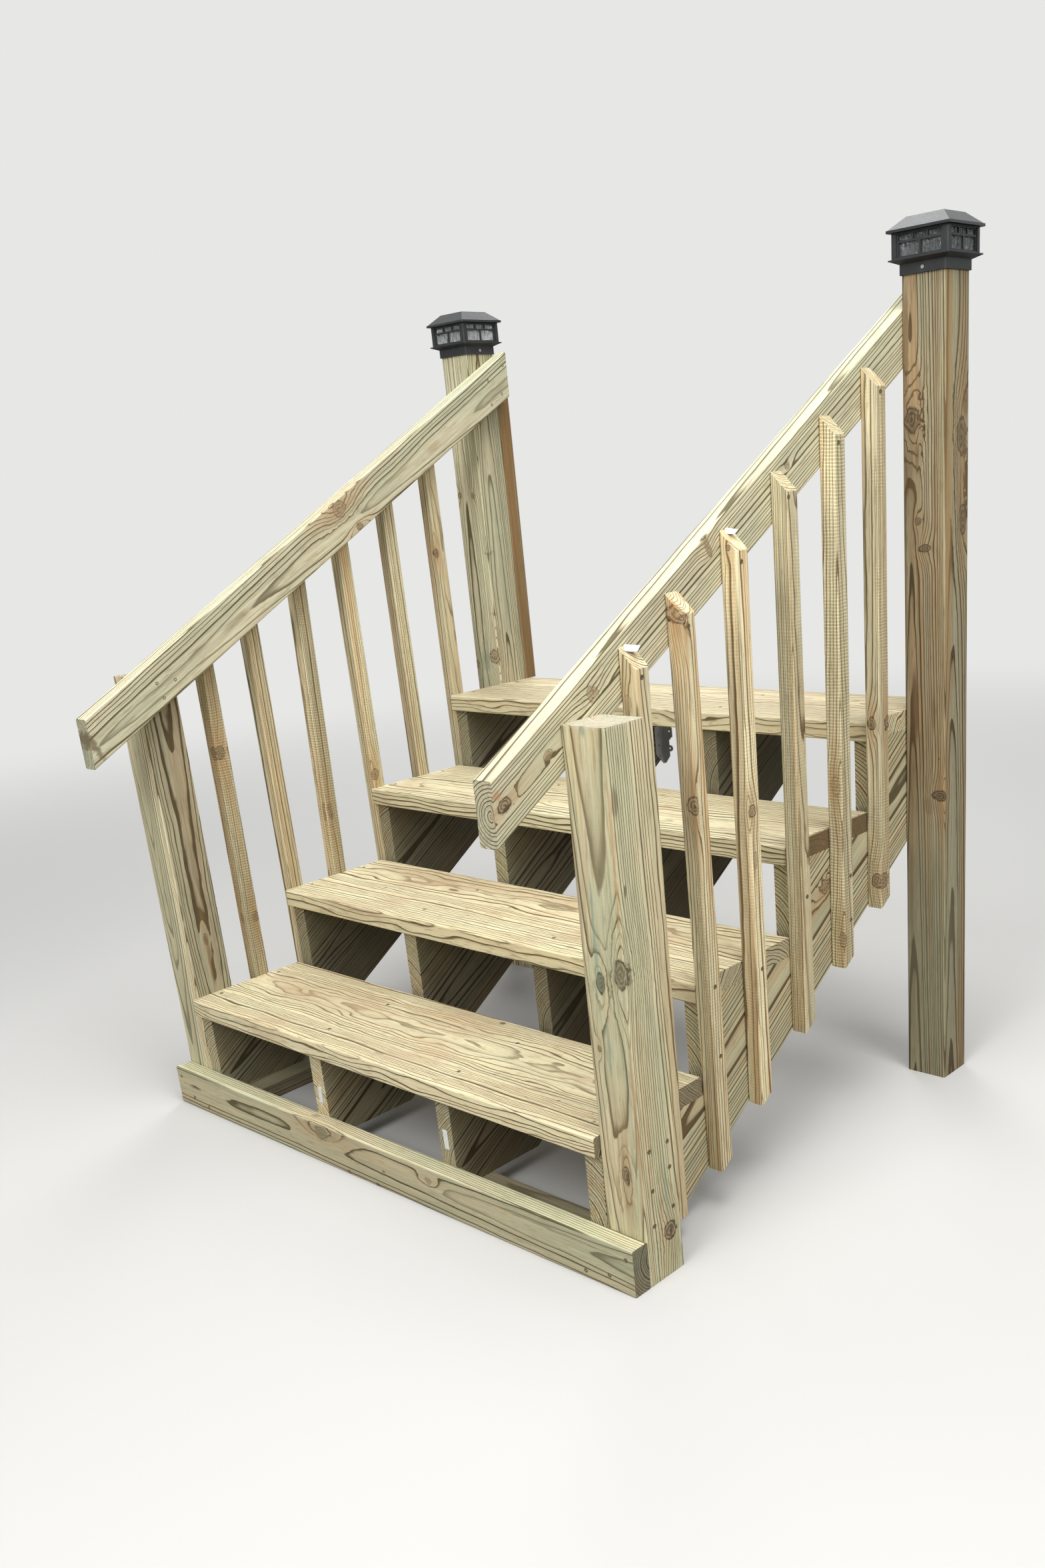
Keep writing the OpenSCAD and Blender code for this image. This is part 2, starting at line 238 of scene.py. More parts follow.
def make_knot_group():
    """A branch that grows straight out of the pith through Centre. Near it the rings are lifted and flow round it
    in long ovals, inside it they close into small circles with a broken dark rim, and resin stains the wood
    round it."""
    g, end = group("Branch knot", [
        *sockets("Vector", "Place", "Centre"), *floats(Radius=0.012, Stretch=1.3, Dark=0.7, Stain=0.5, Seed=0.0),
        *CARRIED], CARRIED)
    out_way = move("NORMALIZE", across_grain(g["Centre"]))
    side_way = move("CROSS_PRODUCT", out_way, (1, 0, 0))
    torn = shake(g["Place"], (55, 75, 75), g["Seed"])
    shaken = move("ADD", g["Place"], move("SCALE", torn, scale=mul(g["Radius"], 1.1)))
    off = move("SUBTRACT", shaken, g["Centre"])
    along = calc("DIVIDE", x_of(off), mul(g["Radius"], g["Stretch"]))
    side = dot(off, side_way)
    across = calc("DIVIDE", side, g["Radius"])
    along2, across2 = mul(along, along), mul(across, across)
    far = calc("SQRT", add(along2, across2))
    outward = rise(dot(g["Place"], out_way), 0.0, 0.006)
    near = mul(outward, decay(mul_add(along2, -0.075, mul(across2, -0.26))))
    aside = move("SCALE", side_way, scale=mul(side, near, -0.72))
    bend = move("ADD", g["Bend"], aside)
    lift = add(g["Lift"], mul(near, mul(g["Radius"], 1.15)))
    # the branch itself: small rings, cracks where the grit is coarse
    grit = noise(g["Place"], (110, 240, 240), g["Seed"], detail=3, rough=0.7)
    inside = mul(outward, rise(far, 1.02, 0.84))
    circles = mul_add(calc("SINE", mul(far, 15.0)), 0.22, 0.62)
    cracked = mul(rise(grit, 0.53, 0.62), rise(far, 1.0, 0.45, 0, 0.9))
    core = mul(inside, mul(mul_add(g["Dark"], 0.6, 0.4), circles))
    # the broken rim, a thin bell curve about the branch's edge
    edge = calc("SUBTRACT", far, 0.98)
    rim = decay(mul(edge, edge, -70))
    broken = mul(g["Dark"], rise(grit, 0.36, 0.56, 0.45, 1.2))
    rim = mul(rim, outward, broken)
    rim = calc("MAXIMUM", rim, mul(inside, mul(g["Dark"], cracked)))
    tail = add(mul(along2, -0.035), mul(across2, -0.55))
    stain = mul(outward, g["Stain"], decay(tail))
    darkest = {label: calc("MAXIMUM", g[label], own)
               for label, own in (("Heart", core), ("Rim", rim), ("Stained", stain))}
    fill(end, {"Bend": bend, "Lift": lift, **darkest})


# Lesser colours of the wood
BLEACHED = (0.60, 0.60, 0.50, 1)
GREEN_LINE = (0.13, 0.145, 0.075, 1)
RESIN_LINE = (0.185, 0.100, 0.042, 1)
DUCT = (0.17, 0.125, 0.055, 1)
RESIN_STAIN = (0.40, 0.235, 0.10, 1)
BRANCH = (0.33, 0.235, 0.13, 1)
SAW_DUST = (0.30, 0.23, 0.11, 1)


def make_pine_group():
    """Sawn pine around its pith. Rings are the distance from the pith, tapered along the trunk and bent by slow
    noise. Each ring darkens slowly and ends sharply in a thin line. Fibres, resin ducts, saw marks and the
    treatment's green blotches lie over them."""
    look = bpy.context.scene.deck_pine
    late_wood, resin, knot = rgba(look.late), rgba(look.warm), rgba(look.knot)
    g, end = group("Sawn pine", [
        *sockets("Vector", "Place", "Facing"),
        *floats(Seed=0.0, Ring=0.005, Taper=0.012, Wander=0.012, Ragged=0.0012, Fold=0.002, Fibre=1.0, Lines=0.8,
                Flat=0.45, Pale=1.0, Bleach=0.0, Warm=0.3, Green=0.3, Saw=0.2, Ducts=0.4, Soil=0.0), *CARRIED],
        sockets("Color", "Colour") + sockets("Float", "Roughness", "Height"))
    seed = g["Seed"]
    place = move("ADD", g["Place"], g["Bend"])
    bent = place
    bends = (((1.7, 5, 5), 1, "Wander"), ((7, 26, 26), 1, "Fold"), ((13, 60, 60), 2, "Ragged"))
    for stretch, detail, size in bends:
        swing = shake(place, stretch, seed, detail)
        bent = move("ADD", bent, move("SCALE", swing, scale=g[size]))
    # which ring a point lies in, and how far through it
    length_way = x_of(bent)
    reach = length_of(across_grain(bent))
    reach = calc("SUBTRACT", reach, mul(length_way, g["Taper"]))
    reach = add(reach, g["Lift"])
    years = calc("DIVIDE", reach, g["Ring"])
    slow = {"W": add(mul(years, 0.31), seed), "Scale": 1.0, "Detail": 1.0}
    uneven = put("TexNoise", slow, noise_dimensions="1D")
    years = add(years, mul(uneven, 1.8))
    phase = calc("FRACT", years)
    ring_number = {"W": add(calc("FLOOR", years), seed)}
    year = put("TexWhiteNoise", ring_number, noise_dimensions="1D")
    # noise drawn out along the grain, in patches, and in short pores
    fibre = noise(g["Place"], (16, 620, 620), seed, detail=3, rough=0.65)
    grain = noise(place, (4.5, 190, 190), seed, detail=2, rough=0.6)
    streak = noise(place, (1.1, 46, 46), seed, detail=2)
    blotch = noise(g["Place"], (2.4, 12, 12), seed, detail=3, rough=0.55)
    patch = noise(g["Place"], (5.5, 9, 9), add(seed, 31.0), detail=4, rough=0.65)
    pores = noise(g["Place"], (26, 270, 270), seed, detail=2)
    duct = mul(rise(pores, 0.56, 0.68), g["Ducts"])
    late = mul(calc("POWER", rise(phase, 0.62, 0.92), 1.7), rise(phase, 1.0, 0.955))
    # where a face lies along the rings a line would spread into a wide dark tongue, so it fades there
    ring_way = move("NORMALIZE", across_grain(bent))
    along_ring = calc("ABSOLUTE", dot(g["Facing"], ring_way))
    late = mul(late, rise(along_ring, 1.0, 0.86, g["Flat"], 1.0))
    late = vary(late, (year, 0.65, 0.42), (grain, 0.8, 0.62))
    # colour, from the wood itself to what lies on it
    ripened = mul(year, mul(phase, phase))
    base = tint(mul(rise(streak, 0.42, 0.68), g["Warm"]), rgba(look.early), resin)
    base = tint(mul(ripened, mul(g["Warm"], 0.8)), base, resin)
    base = tint(mul(rise(blotch, 0.40, 0.66), g["Green"]), base, rgba(look.green))
    base = tint(g["Bleach"], base, BLEACHED)
    line = tint(mul(blotch, mul(g["Green"], 0.9)), late_wood, GREEN_LINE)
    line = tint(mul(g["Warm"], year, 0.8), line, RESIN_LINE)
    colour = tint(mul(late, mul(g["Lines"], 1.35), clamp=True), base, line)
    colour = tint(mul(duct, 0.80), colour, DUCT)
    rough_sawn = mul(mul_add(fibre, 0.76, 0.60), mul_add(grain, 0.84, 0.56))
    shade = mul_add(calc("SUBTRACT", rough_sawn, 0.96), g["Fibre"], 0.96)
    shade = vary(shade, (blotch, 0.44, 0.78), (streak, 0.50, 0.75), (ripened, -0.22, 1.04))
    # the board's tone, with painted light and shade by the way each face looks, scales the wood here and the knots
    # below
    shade = mul(shade, g["Pale"])
    colour = tint(1.0, colour, grey(shade), "MULTIPLY")
    colour = tint(mul(rise(patch, 0.47, 0.68), g["Soil"]), colour, rgba(look.soil))
    colour = tint(mul(g["Stained"], 0.75), colour, RESIN_STAIN)
    branch = tint(rise(g["Heart"], 0.35, 0.9), BRANCH, knot)
    branch = tint(1.0, branch, grey(g["Pale"]), "MULTIPLY")
    colour = tint(rise(g["Heart"], 0.0, 0.55, 0.0, 0.85), colour, branch)
    colour = tint(g["Rim"], colour, knot)
    # saw marks: ripples across the grain, strongest where the blotches are
    ripple = calc("SINE", mul_add(length_way, 1050.0, mul(blotch, 14)))
    ripple = mul(ripple, mul(g["Saw"], rise(blotch, 0.38, 0.62)))
    colour = tint(mul(calc("ABSOLUTE", ripple), 0.6), colour, SAW_DUST)
    height = mul_add(late, 0.35, mul(fibre, 0.55))
    height = add(height, mul(ripple, 0.5))
    height = calc("SUBTRACT", height, mul_add(duct, 0.4, mul(g["Rim"], 0.6)))
    rough = calc("SUBTRACT", mul_add(fibre, 0.2, 0.62), mul(g["Heart"], 0.18))
    fill(end, {"Colour": colour, "Roughness": rough, "Height": height})


def make_mark_group():
    """A stain, scuff or dent at one place: full within about half of Length along the board and Width across it,
    gone a quarter beyond them, with an edge torn by noise."""
    g, end = group("Board mark", [
        *sockets("Vector", "Place", "Centre"), *floats(Length=0.02, Width=0.004, Strength=0.6),
        *sockets("Color", "Ink", "Under")], sockets("Color", "Colour"))
    torn = move("MULTIPLY", shake(g["Place"], (28, 110, 110), 2.0), (0.02, 0.009, 0.009))
    off = move("SUBTRACT", move("ADD", g["Place"], torn), g["Centre"])
    along = calc("DIVIDE", x_of(off), g["Length"])
    across = calc("DIVIDE", length_of(across_grain(off)), g["Width"])
    reach = calc("SQRT", add(mul(along, along), mul(across, across)))
    share = mul(rise(reach, 1.25, 0.55), g["Strength"])
    fill(end, {"Colour": tint(share, g["Under"], g["Ink"])})


def make_dust_group():
    """Fine dust and rub marks on a smooth part, as two masks."""
    g, end = group("Dust", sockets("Vector", "Place") + floats(Grain=1.0), sockets("Float", "Dust", "Rub"))
    place = move("SCALE", g["Place"], scale=g["Grain"])
    soft = noise(place, (26, 26, 26), 3.0, detail=4, rough=0.7)
    fine = noise(place, (420, 420, 420), 5.0, detail=3)
    fill(end, {"Dust": rise(soft, 0.42, 0.75), "Rub": fine})


# The boards. pale is a board's brightness; on all stringers but the right one it is set low to paint the shade
# under the treads. faces are factors on it for the faces that look along x, y and z: painted light and shade by
# which way a face looks, with some real darkening of end grain. foot is one more for the front end of a stringer,
# painted light there. heart is where the tree's middle lies from the board's own middle, in millimetres, across the
# grain.
# ring, wander, ragged and fold are millimetres too: how wide a ring is, and how far slow, fine and middling noise
# bends it. The rest are shares.
# Each knot is its place in metres, radius in mm, stretch along the grain, darkness and resin stain.
# Each mark is its place in metres, half length and half width in mm, strength and colour.

STYLE = dict(ring=4.5, taper=0.010, wander=9, ragged=1.4, lines=1.1, warm=0.30, green=0.35, saw=0.10, ducts=0.35,
             soil=0.0, bleach=0.0, flat=0.45, fibre=1.0, foot=1.0, faces=(1.0, 1.0, 1.0), knots=(), marks=())
TREAD = dict(run="x", ring=4.6, taper=0.006, wander=22, ragged=1.8, fold=14, fibre=0.5, lines=2.0, flat=0.22,
             warm=0.26, green=0.15, ducts=0.55, soil=0.3, saw=0.0)
STRINGER = dict(run="slope", ring=4.7, wander=18, lines=3.8, flat=1.0, warm=0.55, green=0.42)
BALUSTER = dict(run="z", ring=4.4, wander=5, lines=1.7, ragged=2.0, warm=0.62, green=0.06, saw=0.30)
BROWN, BLUE, DIRT = (0.125, 0.070, 0.030), (0.16, 0.32, 0.26), (0.09, 0.06, 0.035)
PALE, SOIL = (0.62, 0.56, 0.36), (0.38, 0.245, 0.135)

# Planes that knots, marks and screws lie in. From the middle out, SIDE is the outer face of stringers and rails,
# BALUSTER_OUT that of the balusters, and OUTSIDE that of newels and posts. LEFT_IN is the inner face of the left
# newel, post and balusters.
TREAD_1_TOP, TREAD_2_TOP = 0.262, 0.439
SIDE, BALUSTER_OUT, OUTSIDE = 0.609, 0.643, 0.699
LEFT_IN, RAIL_LEFT_IN = -0.610, -0.572
KICK_FRONT, NEWEL_FRONT = -0.535, -0.497
POST_LEFT_FRONT, POST_RIGHT_FRONT = 0.520, 0.484

BOARDS = {
    "tread_1": dict(TREAD, pale=1.18, faces=(0.42, 1.19, 0.99), heart=(0, 20, -88), soil=0.40,
        marks=[
            ((-0.34, -0.33, TREAD_1_TOP), 190, 75, 0.30, SOIL), ((0.02, -0.28, TREAD_1_TOP), 170, 55, 0.34, SOIL),
            ((-0.05, -0.45, TREAD_1_TOP), 120, 26, 0.22, SOIL), ((0.106, -0.239, TREAD_1_TOP), 9, 6, 0.8, DIRT),
            ((0.277, -0.422, TREAD_1_TOP), 4, 3, 0.7, DIRT), ((0.457, -0.438, TREAD_1_TOP), 3, 3, 0.7, DIRT),
            ((0.545, -0.444, TREAD_1_TOP), 4, 2, 0.7, DIRT), ((0.568, -0.463, TREAD_1_TOP), 4, 4, 0.7, DIRT),
            ((0.006, -0.475, TREAD_1_TOP), 14, 4, 0.35, BROWN)]),
    "tread_2": dict(TREAD, pale=1.25, faces=(0.70, 0.97, 1.01), heart=(0, 64, -84), ring=6.2, fibre=0.4, soil=0.45,
        marks=[
            ((-0.30, 0.02, TREAD_2_TOP), 260, 45, 0.34, SOIL), ((0.12, 0.01, TREAD_2_TOP), 120, 30, 0.3, SOIL),
            ((-0.239, -0.037, TREAD_2_TOP), 16, 6, 0.75, DIRT), ((-0.105, -0.12, TREAD_2_TOP), 4, 3, 0.8, DIRT),
            ((-0.02, -0.07, TREAD_2_TOP), 4, 3, 0.8, DIRT), ((-0.40, -0.10, TREAD_2_TOP), 5, 3, 0.6, DIRT)]),
    "tread_3": dict(TREAD, pale=1.07, faces=(0.30, 1.04, 1.10), heart=(0, -58, -84), ring=5.8, fibre=0.4, warm=0.15,
        lines=2.4, soil=0.35,
        marks=[((SIDE, 0.20, 0.597), 5, 170, 0.75, (0.17, 0.105, 0.04))]),
    "tread_4": dict(TREAD, pale=0.98, faces=(1.30, 1.05, 1.06), heart=(0, 70, -95), ring=6.2, fibre=0.4, warm=0.4),
    # The low pale of these three stringers is painted shade, the shade that falls on them under the treads; foot
    # lifts it again at their front ends as painted light.
    "stringer_left": dict(STRINGER, foot=1.7, pale=0.38, faces=(0.96, 1.46, 1.16), heart=(62, 0, 20)),
    "stringer_inner_left": dict(STRINGER, foot=1.9, pale=0.43, faces=(0.96, 1.83, 1.29), heart=(-60, 0, -25),
        warm=0.6),
    "stringer_inner_right": dict(STRINGER, foot=2.3, pale=0.24, faces=(0.96, 1.52, 1.51), heart=(70, 0, 35),
        ring=4.2),
    "stringer_right": dict(STRINGER, pale=1.04, faces=(0.99, 0.92, 0.97), heart=(-60, 0, 10), ring=5.6,
        knots=[((SIDE, 0.187, 0.503), 11, 1.5, 0.7, 0.8)]),
    "kick_board": dict(run="x", pale=0.97, faces=(0.46, 0.99, 1.24), heart=(0, 46, 9), ring=5.0, wander=11,
        taper=0.009, green=0.6, warm=0.20, lines=2.2, saw=0.0, fibre=0.6, flat=0.4,
        knots=[((-0.150, KICK_FRONT, 0.070), 13, 1.6, 0.5, 0.5), ((0.182, KICK_FRONT, 0.062), 7, 1.3, 0.3, 0.2)],
        marks=[
            ((-0.150, KICK_FRONT, 0.070), 30, 15, 0.35, (0.25, 0.28, 0.17)),
            ((0.51, KICK_FRONT, 0.068), 150, 3, 0.35, BROWN), ((-0.195, -0.512, 0.089), 12, 6, 0.4, BROWN),
            ((0.045, KICK_FRONT, 0.040), 5, 3, 0.7, DIRT), ((0.020, KICK_FRONT, 0.004), 9, 5, 0.8, DIRT),
            ((-0.072, KICK_FRONT, 0.005), 5, 5, 0.7, DIRT), ((0.40, KICK_FRONT, 0.045), 60, 20, 0.18, PALE)]),
    "sleeper_front": dict(run="x", heart=(0, 20, -60), pale=0.62, green=0.5),
    "sleeper_left": dict(run="y", heart=(20, 0, -60), pale=0.60, green=0.5),
    "newel_left": dict(run="z", pale=0.92, faces=(0.69, 1.68, 0.98), heart=(-18, 4, 0), ring=3.9, taper=0.020,
        wander=17, ragged=2.6, warm=0.70, green=0.34, lines=3.0, flat=1.0, bleach=0.12,
        knots=[((LEFT_IN, -0.451, 0.387), 5, 2.6, 0.6, 0.5)],
        marks=[
            ((-0.670, NEWEL_FRONT, 0.589), 22, 6, 0.4, (0.16, 0.17, 0.09)),
            ((LEFT_IN, -0.449, 0.33), 55, 6, 0.55, BROWN), ((LEFT_IN, -0.446, 0.55), 60, 7, 0.30, BROWN),
            ((-0.667, -0.500, 0.45), 620, 34, 0.55, (0.31, 0.33, 0.22))]),
    "newel_right": dict(run="z", pale=1.18, faces=(1.09, 1.00, 0.67), heart=(6, 62, 0), ring=4.6, taper=0.022,
        wander=11, ragged=1.2, warm=0.50, green=0.65, lines=1.9, flat=0.30,
        knots=[
            ((0.646, NEWEL_FRONT, 0.539), 9, 2.0, 1.2, 0.1), ((0.690, NEWEL_FRONT, 0.560), 12, 2.0, 0.95, 0.1),
            ((0.665, NEWEL_FRONT, 0.203), 8, 2.2, 0.9, 0.8), ((OUTSIDE, -0.438, 0.082), 10, 1.7, 1.0, 0.4),
            ((0.630, NEWEL_FRONT, 0.423), 4, 1.4, 0.8, 0.4)],
        marks=[
            ((0.646, NEWEL_FRONT, 0.539), 20, 10, 0.45, (0.17, 0.20, 0.13)),
            ((0.688, NEWEL_FRONT, 0.560), 26, 14, 0.42, (0.17, 0.19, 0.12)),
            ((0.641, NEWEL_FRONT, 0.62), 100, 4, 0.5, BLUE), ((0.650, NEWEL_FRONT, 0.43), 60, 4, 0.45, BLUE),
            ((0.654, NEWEL_FRONT, 0.939), 12, 7, 0.5, (0.20, 0.26, 0.22)),
            ((0.696, NEWEL_FRONT, 0.75), 160, 3, 0.55, (0.50, 0.27, 0.11)),
            ((0.696, NEWEL_FRONT, 0.30), 190, 4, 0.55, (0.42, 0.23, 0.10)),
            ((0.614, NEWEL_FRONT, 0.60), 300, 4, 0.35, (0.35, 0.20, 0.12)),
            ((0.654, -0.452, 0.944), 4, 75, 0.36, (0.70, 0.67, 0.57)),
            ((OUTSIDE, -0.488, 0.831), 26, 7, 0.5, BROWN), ((OUTSIDE, -0.481, 0.694), 12, 2.5, 0.8, DIRT),
            ((OUTSIDE, -0.44, 0.16), 70, 5, 0.40, BLUE), ((0.668, NEWEL_FRONT, 0.200), 16, 3, 0.75, DIRT),
            ((OUTSIDE, -0.436, 0.080), 13, 4, 0.75, DIRT)]),
    "post_left": dict(run="z", pale=1.04, faces=(0.79, 1.24, 1.02), heart=(-15, -8, 0), ring=3.3, taper=-0.010,
        wander=9, warm=0.22, green=0.65, lines=2.3, flat=0.5, bleach=0.10,
        knots=[
            ((-0.689, POST_LEFT_FRONT, 1.261), 5, 1.5, 0.9, 0.3),
            ((-0.640, POST_LEFT_FRONT, 1.259), 5, 1.4, 0.7, 0.3),
            ((-0.625, POST_LEFT_FRONT, 0.862), 11, 1.6, 0.75, 0.2),
            ((-0.695, POST_LEFT_FRONT, 0.841), 7, 1.5, 0.9, 0.4)],
        marks=[
            ((LEFT_IN, 0.526, 1.119), 3, 16, 0.4, DIRT), ((LEFT_IN, 0.521, 0.969), 2, 14, 0.4, DIRT),
            ((-0.66, POST_LEFT_FRONT, 0.85), 28, 18, 0.35, (0.20, 0.25, 0.17))]),
    "post_right": dict(run="z", pale=0.62, faces=(0.96, 0.99, 1.14), heart=(-28, -14, 0), ring=4.2, taper=-0.012,
        wander=9, ragged=1.1, warm=0.85, green=0.30, lines=3.3, flat=0.7,
        knots=[
            ((0.630, POST_RIGHT_FRONT, 1.335), 15, 1.5, 0.9, 0.3),
            ((0.641, POST_RIGHT_FRONT, 1.154), 6, 1.2, 0.7, 0.3),
            ((0.656, POST_RIGHT_FRONT, 1.104), 8, 1.0, 1.0, 0.4),
            ((0.690, POST_RIGHT_FRONT, 0.623), 8, 1.3, 1.4, 0.4), ((OUTSIDE, 0.545, 1.30), 15, 2.2, 0.75, 0.4),
            ((OUTSIDE, 0.552, 1.15), 12, 2.2, 0.75, 0.4)],
        marks=[
            ((0.618, POST_RIGHT_FRONT, 1.47), 95, 6, 0.6, BROWN),
            ((0.640, POST_RIGHT_FRONT, 1.27), 30, 6, 0.5, BROWN),
            ((0.632, POST_RIGHT_FRONT, 0.80), 80, 9, 0.8, BROWN),
            ((0.622, POST_RIGHT_FRONT, 1.24), 45, 9, 0.4, BROWN),
            ((0.675, POST_RIGHT_FRONT, 0.79), 40, 6, 0.5, BROWN),
            ((0.66, POST_RIGHT_FRONT, 0.60), 18, 14, 0.4, BROWN),
            ((0.654, POST_RIGHT_FRONT, 0.30), 340, 70, 0.30, (0.27, 0.27, 0.17)),
            ((OUTSIDE, 0.498, 1.2), 520, 15, 0.42, (0.40, 0.24, 0.085)),
            ((OUTSIDE, 0.56, 1.36), 30, 10, 0.55, BROWN),
            ((0.613, POST_RIGHT_FRONT, 1.2), 420, 5, 0.45, (0.20, 0.115, 0.045)),
            ((0.636, POST_RIGHT_FRONT, 0.704), 3, 2, 0.9, DIRT),
            ((0.686, POST_RIGHT_FRONT, 0.698), 3, 2, 0.9, DIRT)]),
    "post_nailer": dict(run="z", pale=0.50, faces=(1.00, 0.93, 0.93), heart=(10, 70, 0), ring=4.6, warm=2.2,
        green=0.0, lines=0.8,
        marks=[((LEFT_IN, 0.628, 1.15), 600, 60, 0.45, (0.24, 0.13, 0.04))]),
    "rail_left": dict(run="left rail", pale=0.92, faces=(1.00, 1.02, 1.61), heart=(-42, 0, -14), ring=4.6,
        wander=10, taper=0.012, green=0.65, warm=0.15, lines=1.9, flat=0.35, bleach=0.22,
        knots=[
            ((RAIL_LEFT_IN, 0.051, 1.260), 14, 1.2, 0.45, 0.7), ((RAIL_LEFT_IN, 0.102, 1.218), 7, 1.4, 0.75, 0.5)],
        marks=[
            ((RAIL_LEFT_IN, -0.259, 1.056), 42, 9, 0.30, BROWN),
            ((RAIL_LEFT_IN, 0.348, 1.377), 26, 9, 0.40, (0.36, 0.25, 0.13)),
            ((RAIL_LEFT_IN, 0.24, 1.33), 40, 7, 0.28, (0.36, 0.25, 0.13)),
            ((-0.59, -0.640, 0.87), 9, 60, 0.75, (0.13, 0.09, 0.045))]),
    "rail_right": dict(run="right rail", pale=1.14, faces=(1.00, 0.86, 1.05), heart=(12, 0, 8), ring=5.4, wander=3,
        ragged=1.0, taper=0.002, green=0.55, warm=0.10, lines=3.0, bleach=0.16,
        knots=[
            ((SIDE, -0.420, 0.976), 9, 1.4, 0.45, 0.1), ((SIDE, -0.528, 0.904), 7, 1.5, 0.4, 0.1),
            ((SIDE, -0.626, 0.850), 10, 1.4, 0.95, 0.7), ((SIDE, -0.122, 1.163), 6, 1.0, 0.6, 0.3),
            ((SIDE, 0.106, 1.275), 6, 1.1, 0.5, 0.1)],
        marks=[
            ((SIDE, -0.638, 0.868), 10, 8, 0.55, (0.42, 0.20, 0.09)), ((SIDE, -0.622, 0.845), 12, 3, 0.9, DIRT)]),
    "baluster_left_1": dict(BALUSTER, pale=0.87, faces=(0.92, 1.07, 1.02), heart=(-20, -42, 0), saw=0.9,
        knots=[((LEFT_IN, -0.333, 0.781), 8, 1.8, 1.0, 0.9), ((LEFT_IN, -0.318, 0.401), 5, 2.4, 0.7, 0.8)]),
    "baluster_left_2": dict(BALUSTER, pale=0.99, faces=(0.93, 1.17, 1.12), heart=(-24, 40, 0), warm=0.5),
    "baluster_left_3": dict(BALUSTER, pale=0.98, faces=(0.83, 1.47, 1.07), heart=(-10, -40, 0), saw=1.0,
        knots=[((LEFT_IN, -0.070, 0.590), 4, 5.0, 0.8, 0.9)]),
    "baluster_left_4": dict(BALUSTER, pale=1.17, faces=(1.00, 0.92, 0.97), heart=(-28, 40, 0), warm=0.8,
        knots=[((LEFT_IN, 0.075, 0.648), 7, 1.8, 0.8, 1.0)]),
    "baluster_left_5": dict(BALUSTER, pale=1.03, faces=(1.02, 0.85, 0.93), heart=(-30, 34, 0), warm=0.7),
    "baluster_left_6": dict(BALUSTER, pale=1.02, faces=(0.92, 1.02, 0.98), heart=(-40, 8, 0),
        knots=[((LEFT_IN, 0.352, 1.136), 6, 1.6, 0.95, 0.9)]),
    "baluster_right_1": dict(BALUSTER, pale=1.28, faces=(1.00, 0.95, 1.01), heart=(-36, 26, 0), green=0.3,
        knots=[((0.622, -0.358, 0.949), 6, 2.5, 0.3, 0.6)]),
    "baluster_right_2": dict(BALUSTER, pale=1.42, faces=(0.99, 0.99, 0.97), heart=(-30, -38, 0), warm=0.8,
        knots=[((0.640, -0.239, 1.071), 9, 1.6, 0.9, 0.9), ((0.627, -0.239, 0.762), 6, 2.6, 0.8, 0.8)],
        marks=[
            ((0.612, -0.239, 0.90), 150, 3, 0.6, BROWN), ((0.626, -0.239, 1.10), 60, 8, 0.35, (0.45, 0.24, 0.10))]),
    "baluster_right_3": dict(BALUSTER, pale=1.58, faces=(1.07, 0.88, 0.87), heart=(-30, 38, 0), lines=1.1, warm=0.9,
        knots=[
            ((0.627, -0.092, 1.158), 4, 1.2, 1.0, 0.4), ((BALUSTER_OUT, -0.080, 0.719), 7, 1.5, 0.95, 0.9),
            ((BALUSTER_OUT, -0.078, 0.629), 3, 5.0, 0.6, 0.8)]),
    "baluster_right_4": dict(BALUSTER, pale=1.16, faces=(0.95, 0.99, 0.97), heart=(-46, 10, 0), ring=3.6,
        green=0.2),
    "baluster_right_5": dict(BALUSTER, pale=1.38, faces=(0.82, 1.09, 1.00), heart=(-40, 30, 0), saw=0.8,
        knots=[((0.631, 0.197, 0.700), 7, 2.8, 0.45, 0.9), ((0.638, 0.197, 0.395), 6, 2.5, 0.7, 1.0)],
        marks=[((0.618, 0.197, 0.70), 40, 6, 0.4, (0.45, 0.22, 0.08))]),
    "baluster_right_6": dict(BALUSTER, pale=1.18, faces=(0.93, 1.04, 0.98), heart=(-18, -46, 0), saw=0.9, warm=0.6,
        knots=[((0.623, 0.332, 0.794), 7, 1.8, 1.0, 0.8), ((0.634, 0.332, 0.478), 10, 1.5, 0.9, 0.5)]),
}

# Which way each board runs, as the turn from a board along x. Slopes are in radians.
RISE, RUN = 0.177, 0.284
SLOPES = {"slope": math.atan2(RISE, RUN), "left rail": 0.4911, "right rail": 0.5236}
TO_Y = Matrix.Rotation(math.pi / 2, 3, "Z")
TURNS = {"x": Matrix.Identity(3), "y": TO_Y, "z": Matrix.Rotation(-math.pi / 2, 3, "Y"),
         **{name: Matrix.Rotation(angle, 3, "X") @ TO_Y for name, angle in SLOPES.items()}}

# How far apart the noises lie from board to board, in the wood and in the knots, and from knot to knot
WOOD_SEED, BOARD_SEED, KNOT_SEED = 3.17, 1.7, 0.6
# Metres along a stringer from its middle between which the painted light on its front end fades out
PAINTED_LIGHT_FADE = (-0.66, -0.34)
# How far middling noise bends the rings where a board doesn't say, against the fine noise
FOLD_SHARE = 1.6


def principled(name):
    """A new material, its node tree and its shader."""
    material = bpy.data.materials.new(name)
    material.use_nodes = True
    return material, material.node_tree, material.node_tree.nodes["Principled BSDF"]


